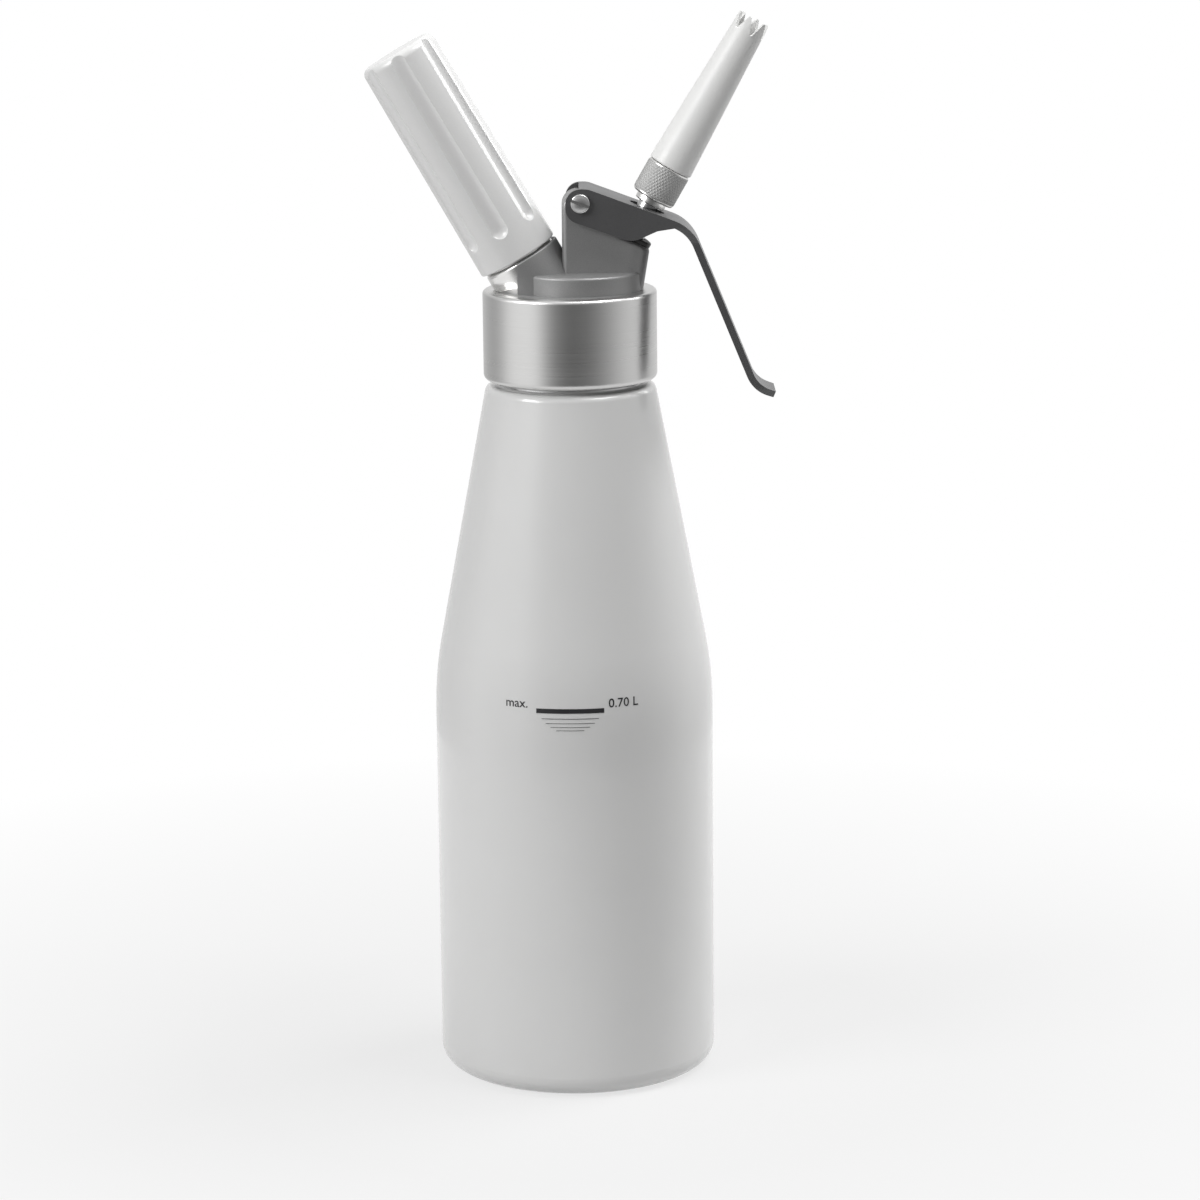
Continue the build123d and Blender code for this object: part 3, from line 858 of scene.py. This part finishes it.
def background(tree, tint, power=1.0):
    """Light of the world: its colour, or the socket that gives it, and its strength."""
    node = tree.nodes.new("ShaderNodeBackground")
    feed(tree, tint, node.inputs["Color"])
    node.inputs["Strength"].default_value = power
    return node.outputs[0]


class DISPENSER_OT_stage(bpy.types.Operator):
    """Lays the floor, hangs the lights and sets up the camera"""

    bl_idname = "dispenser.stage"
    bl_label = "Stage"

    def execute(self, context):
        stage = context.scene.dispenser_stage
        context.scene.view_settings.view_transform = "Standard"
        self.floor(stage)
        self.room(context.scene, stage)
        self.lamp("key_light", stage.key, turn=-58, rise=30, distance=1.5)
        self.lamp("rim_light", stage.rim, turn=118, rise=30, distance=1.5)
        self.lamp("top_light", stage.top, turn=75, rise=68, distance=1.4)
        self.camera(context.scene, stage)
        return {"FINISHED"}

    def floor(self, stage):
        """Round floor: radius x (cos angle, sin angle), a fan in the middle and rings round it."""
        rings, spokes = 8, 96
        radius = np.linspace(0, stage.floor_radius * MM, rings + 1)[1:, None]
        angle = np.linspace(0, 2 * pi, spokes, endpoint=False)[None]
        grid = np.stack([radius * np.cos(angle), radius * np.sin(angle), 0 * radius * angle], -1)
        points = np.vstack([[[0, 0, 0]], grid.reshape(-1, 3)])
        index = 1 + np.arange(rings * spokes).reshape(rings, spokes)
        step = np.roll(index, -1, 1)
        quads = np.stack([index[:-1], index[1:], step[1:], step[:-1]], -1).reshape(-1, 4)
        fan = np.stack([0 * index[0], index[0], step[0]], -1)
        mesh = bpy.data.meshes.new("floor")
        mesh.from_pydata(points, [], fan.tolist() + quads.tolist())
        mesh.materials.append(self.paper())
        floor = bpy.data.objects.new("floor", mesh)
        bpy.context.scene.collection.objects.link(floor)

    def paper(self):
        """Pale paper that keeps the shadow near the dispenser and turns to plain white.

        To the eye, in gloss and through clear pieces, the share of plain white goes from 0.72 at
        0.12 m from the middle to 1 at 0.4 m.
        """
        grey = (0.53, 0.53, 0.53)
        material, tree, shader = finish(
            "pale_floor", grey, metallic=0.0, roughness=0.8, specular_ior_level=0.1
        )
        distance = tree.nodes.new("ShaderNodeVectorMath")
        distance.operation = "LENGTH"
        tree.links.new(object_point(tree), distance.inputs[0])
        paleness = remap(
            tree, distance.outputs["Value"], low=0.72, high=1.0, start=0.12, stop=0.4
        )
        seen = rays(tree, "Is Camera Ray", "Is Glossy Ray", "Is Transmission Ray")
        white = tree.nodes.new("ShaderNodeEmission").outputs[0]
        share = calculate(tree, "MULTIPLY", seen, paleness)
        shown = mix_shaders(tree, share, shader.outputs[0], white)
        tree.links.new(shown, tree.nodes["Material Output"].inputs["Surface"])
        return material

    def room(self, scene, stage):
        """Studio round the dispenser: even light for the shading, soft boxes and a dark front for
        the gloss, and white to the eye."""
        world = bpy.data.worlds.new("studio")
        scene.world = world
        world.use_nodes = True
        tree = world.node_tree
        tree.nodes.clear()
        even = background(tree, WHITE, stage.world)
        boxes = background(tree, self.soft_boxes(tree))
        lit = mix_shaders(tree, rays(tree, "Is Glossy Ray"), even, boxes)
        seen = rays(tree, "Is Camera Ray", "Is Transmission Ray")
        shown = mix_shaders(tree, seen, lit, background(tree, WHITE))
        tree.links.new(shown, tree.nodes.new("ShaderNodeOutputWorld").inputs["Surface"])

    def soft_boxes(self, tree):
        """Grey of the room by direction: a ramp round the dispenser that pales towards the top."""
        direction = tree.nodes.new("ShaderNodeTexCoord").outputs["Generated"]
        x, y, z = split(tree, direction)
        turn = calculate(tree, "ARCTAN2", x, calculate(tree, "MULTIPLY", y, -1.0))
        turn = remap(tree, turn, low=0, high=1, start=-pi, stop=pi)
        ramp = tree.nodes.new("ShaderNodeValToRGB")
        ramp.color_ramp.interpolation = "B_SPLINE"
        table = ramp.color_ramp.elements
        while len(table) < len(ROOM_GREYS):
            table.new(0.5)
        for entry, degrees in zip(table, ROOM_GREYS):
            entry.position = 0.5 + degrees / 360
        for entry, grey in zip(table, ROOM_GREYS.values()):
            entry.color = (grey, grey, grey, 1)
        tree.links.new(turn, ramp.inputs[0])
        overhead = remap(tree, z, low=0, high=0.85, start=0.05, stop=0.9)
        ceiling = (0.95, 0.95, 0.95, 1)
        return mix_colours(tree, overhead, ramp.outputs["Color"], ceiling)

    def lamp(self, name, power, turn, rise, distance):
        """Square lamp aimed at the middle of the dispenser, turn and rise in degrees.

        turn goes from the front to the valve's side, and rise from the level of the floor.
        """
        data = bpy.data.lights.new(name, "AREA")
        data.energy = power
        data.size = 0.7
        lamp = bpy.data.objects.new(name, data)
        turn, rise = radians(turn), radians(rise)
        back = Vector((sin(turn) * cos(rise), -cos(turn) * cos(rise), sin(rise)))
        middle = Vector((0, 0, 0.17))
        lamp.location = middle + back * distance
        lamp.rotation_euler = back.to_track_quat("Z", "Y").to_euler()
        bpy.context.scene.collection.objects.link(lamp)

    def camera(self, scene, stage):
        """Long lens, looking a little down on the dispenser."""
        data = bpy.data.cameras.new("camera")
        data.sensor_width = 36
        data.lens = stage.lens
        data.clip_start, data.clip_end = 0.05, 20
        camera = bpy.data.objects.new("camera", data)
        turn = Matrix.Rotation(stage.yaw, 4, "Z") @ Matrix.Rotation(pi / 2 - stage.pitch, 4, "X")
        place = Matrix.Translation((0, -stage.distance * MM, stage.height * MM))
        camera.matrix_world = place @ turn @ Matrix.Rotation(stage.roll, 4, "Z")
        scene.collection.objects.link(camera)
        scene.camera = camera


# ---------- add-on ----------

STEPS = (
    DISPENSER_OT_bottle,
    DISPENSER_OT_fill_mark,
    DISPENSER_OT_head,
    DISPENSER_OT_gas_side,
    DISPENSER_OT_valve_side,
    DISPENSER_OT_stage,
)
SETTINGS = {
    "dispenser_finishes": DispenserFinishes,
    "dispenser_threads": DispenserThreads,
    "dispenser_knurl": DispenserKnurl,
    "dispenser_mark": DispenserMark,
    "dispenser_stage": DispenserStage,
}


class DISPENSER_PT_panel(bpy.types.Panel):
    """The dispenser's steps and settings"""

    bl_label = "Dispenser"
    bl_space_type = "VIEW_3D"
    bl_region_type = "UI"
    bl_category = "Dispenser"

    def draw(self, context):
        for step in STEPS:
            self.layout.operator(step.bl_idname)
        for name, group in SETTINGS.items():
            box = self.layout.box()
            for key in group.__annotations__:
                box.prop(getattr(context.scene, name), key)


def register():
    """Adds the settings to the scene, and the steps and the panel to Blender."""
    for group in SETTINGS.values():
        bpy.utils.register_class(group)
    for name, group in SETTINGS.items():
        setattr(bpy.types.Scene, name, PointerProperty(type=group))
    for item in (*STEPS, DISPENSER_PT_panel):
        bpy.utils.register_class(item)


def unregister():
    """Takes them away again, in the other order."""
    for item in (DISPENSER_PT_panel, *reversed(STEPS)):
        bpy.utils.unregister_class(item)
    for name, group in SETTINGS.items():
        delattr(bpy.types.Scene, name)
        bpy.utils.unregister_class(group)


def main():
    """Runs every step in order."""
    register()
    bpy.ops.dispenser.bottle()
    bpy.ops.dispenser.fill_mark()
    bpy.ops.dispenser.head()
    bpy.ops.dispenser.gas_side()
    bpy.ops.dispenser.valve_side()
    bpy.ops.dispenser.stage()


if __name__ == "__main__":
    main()
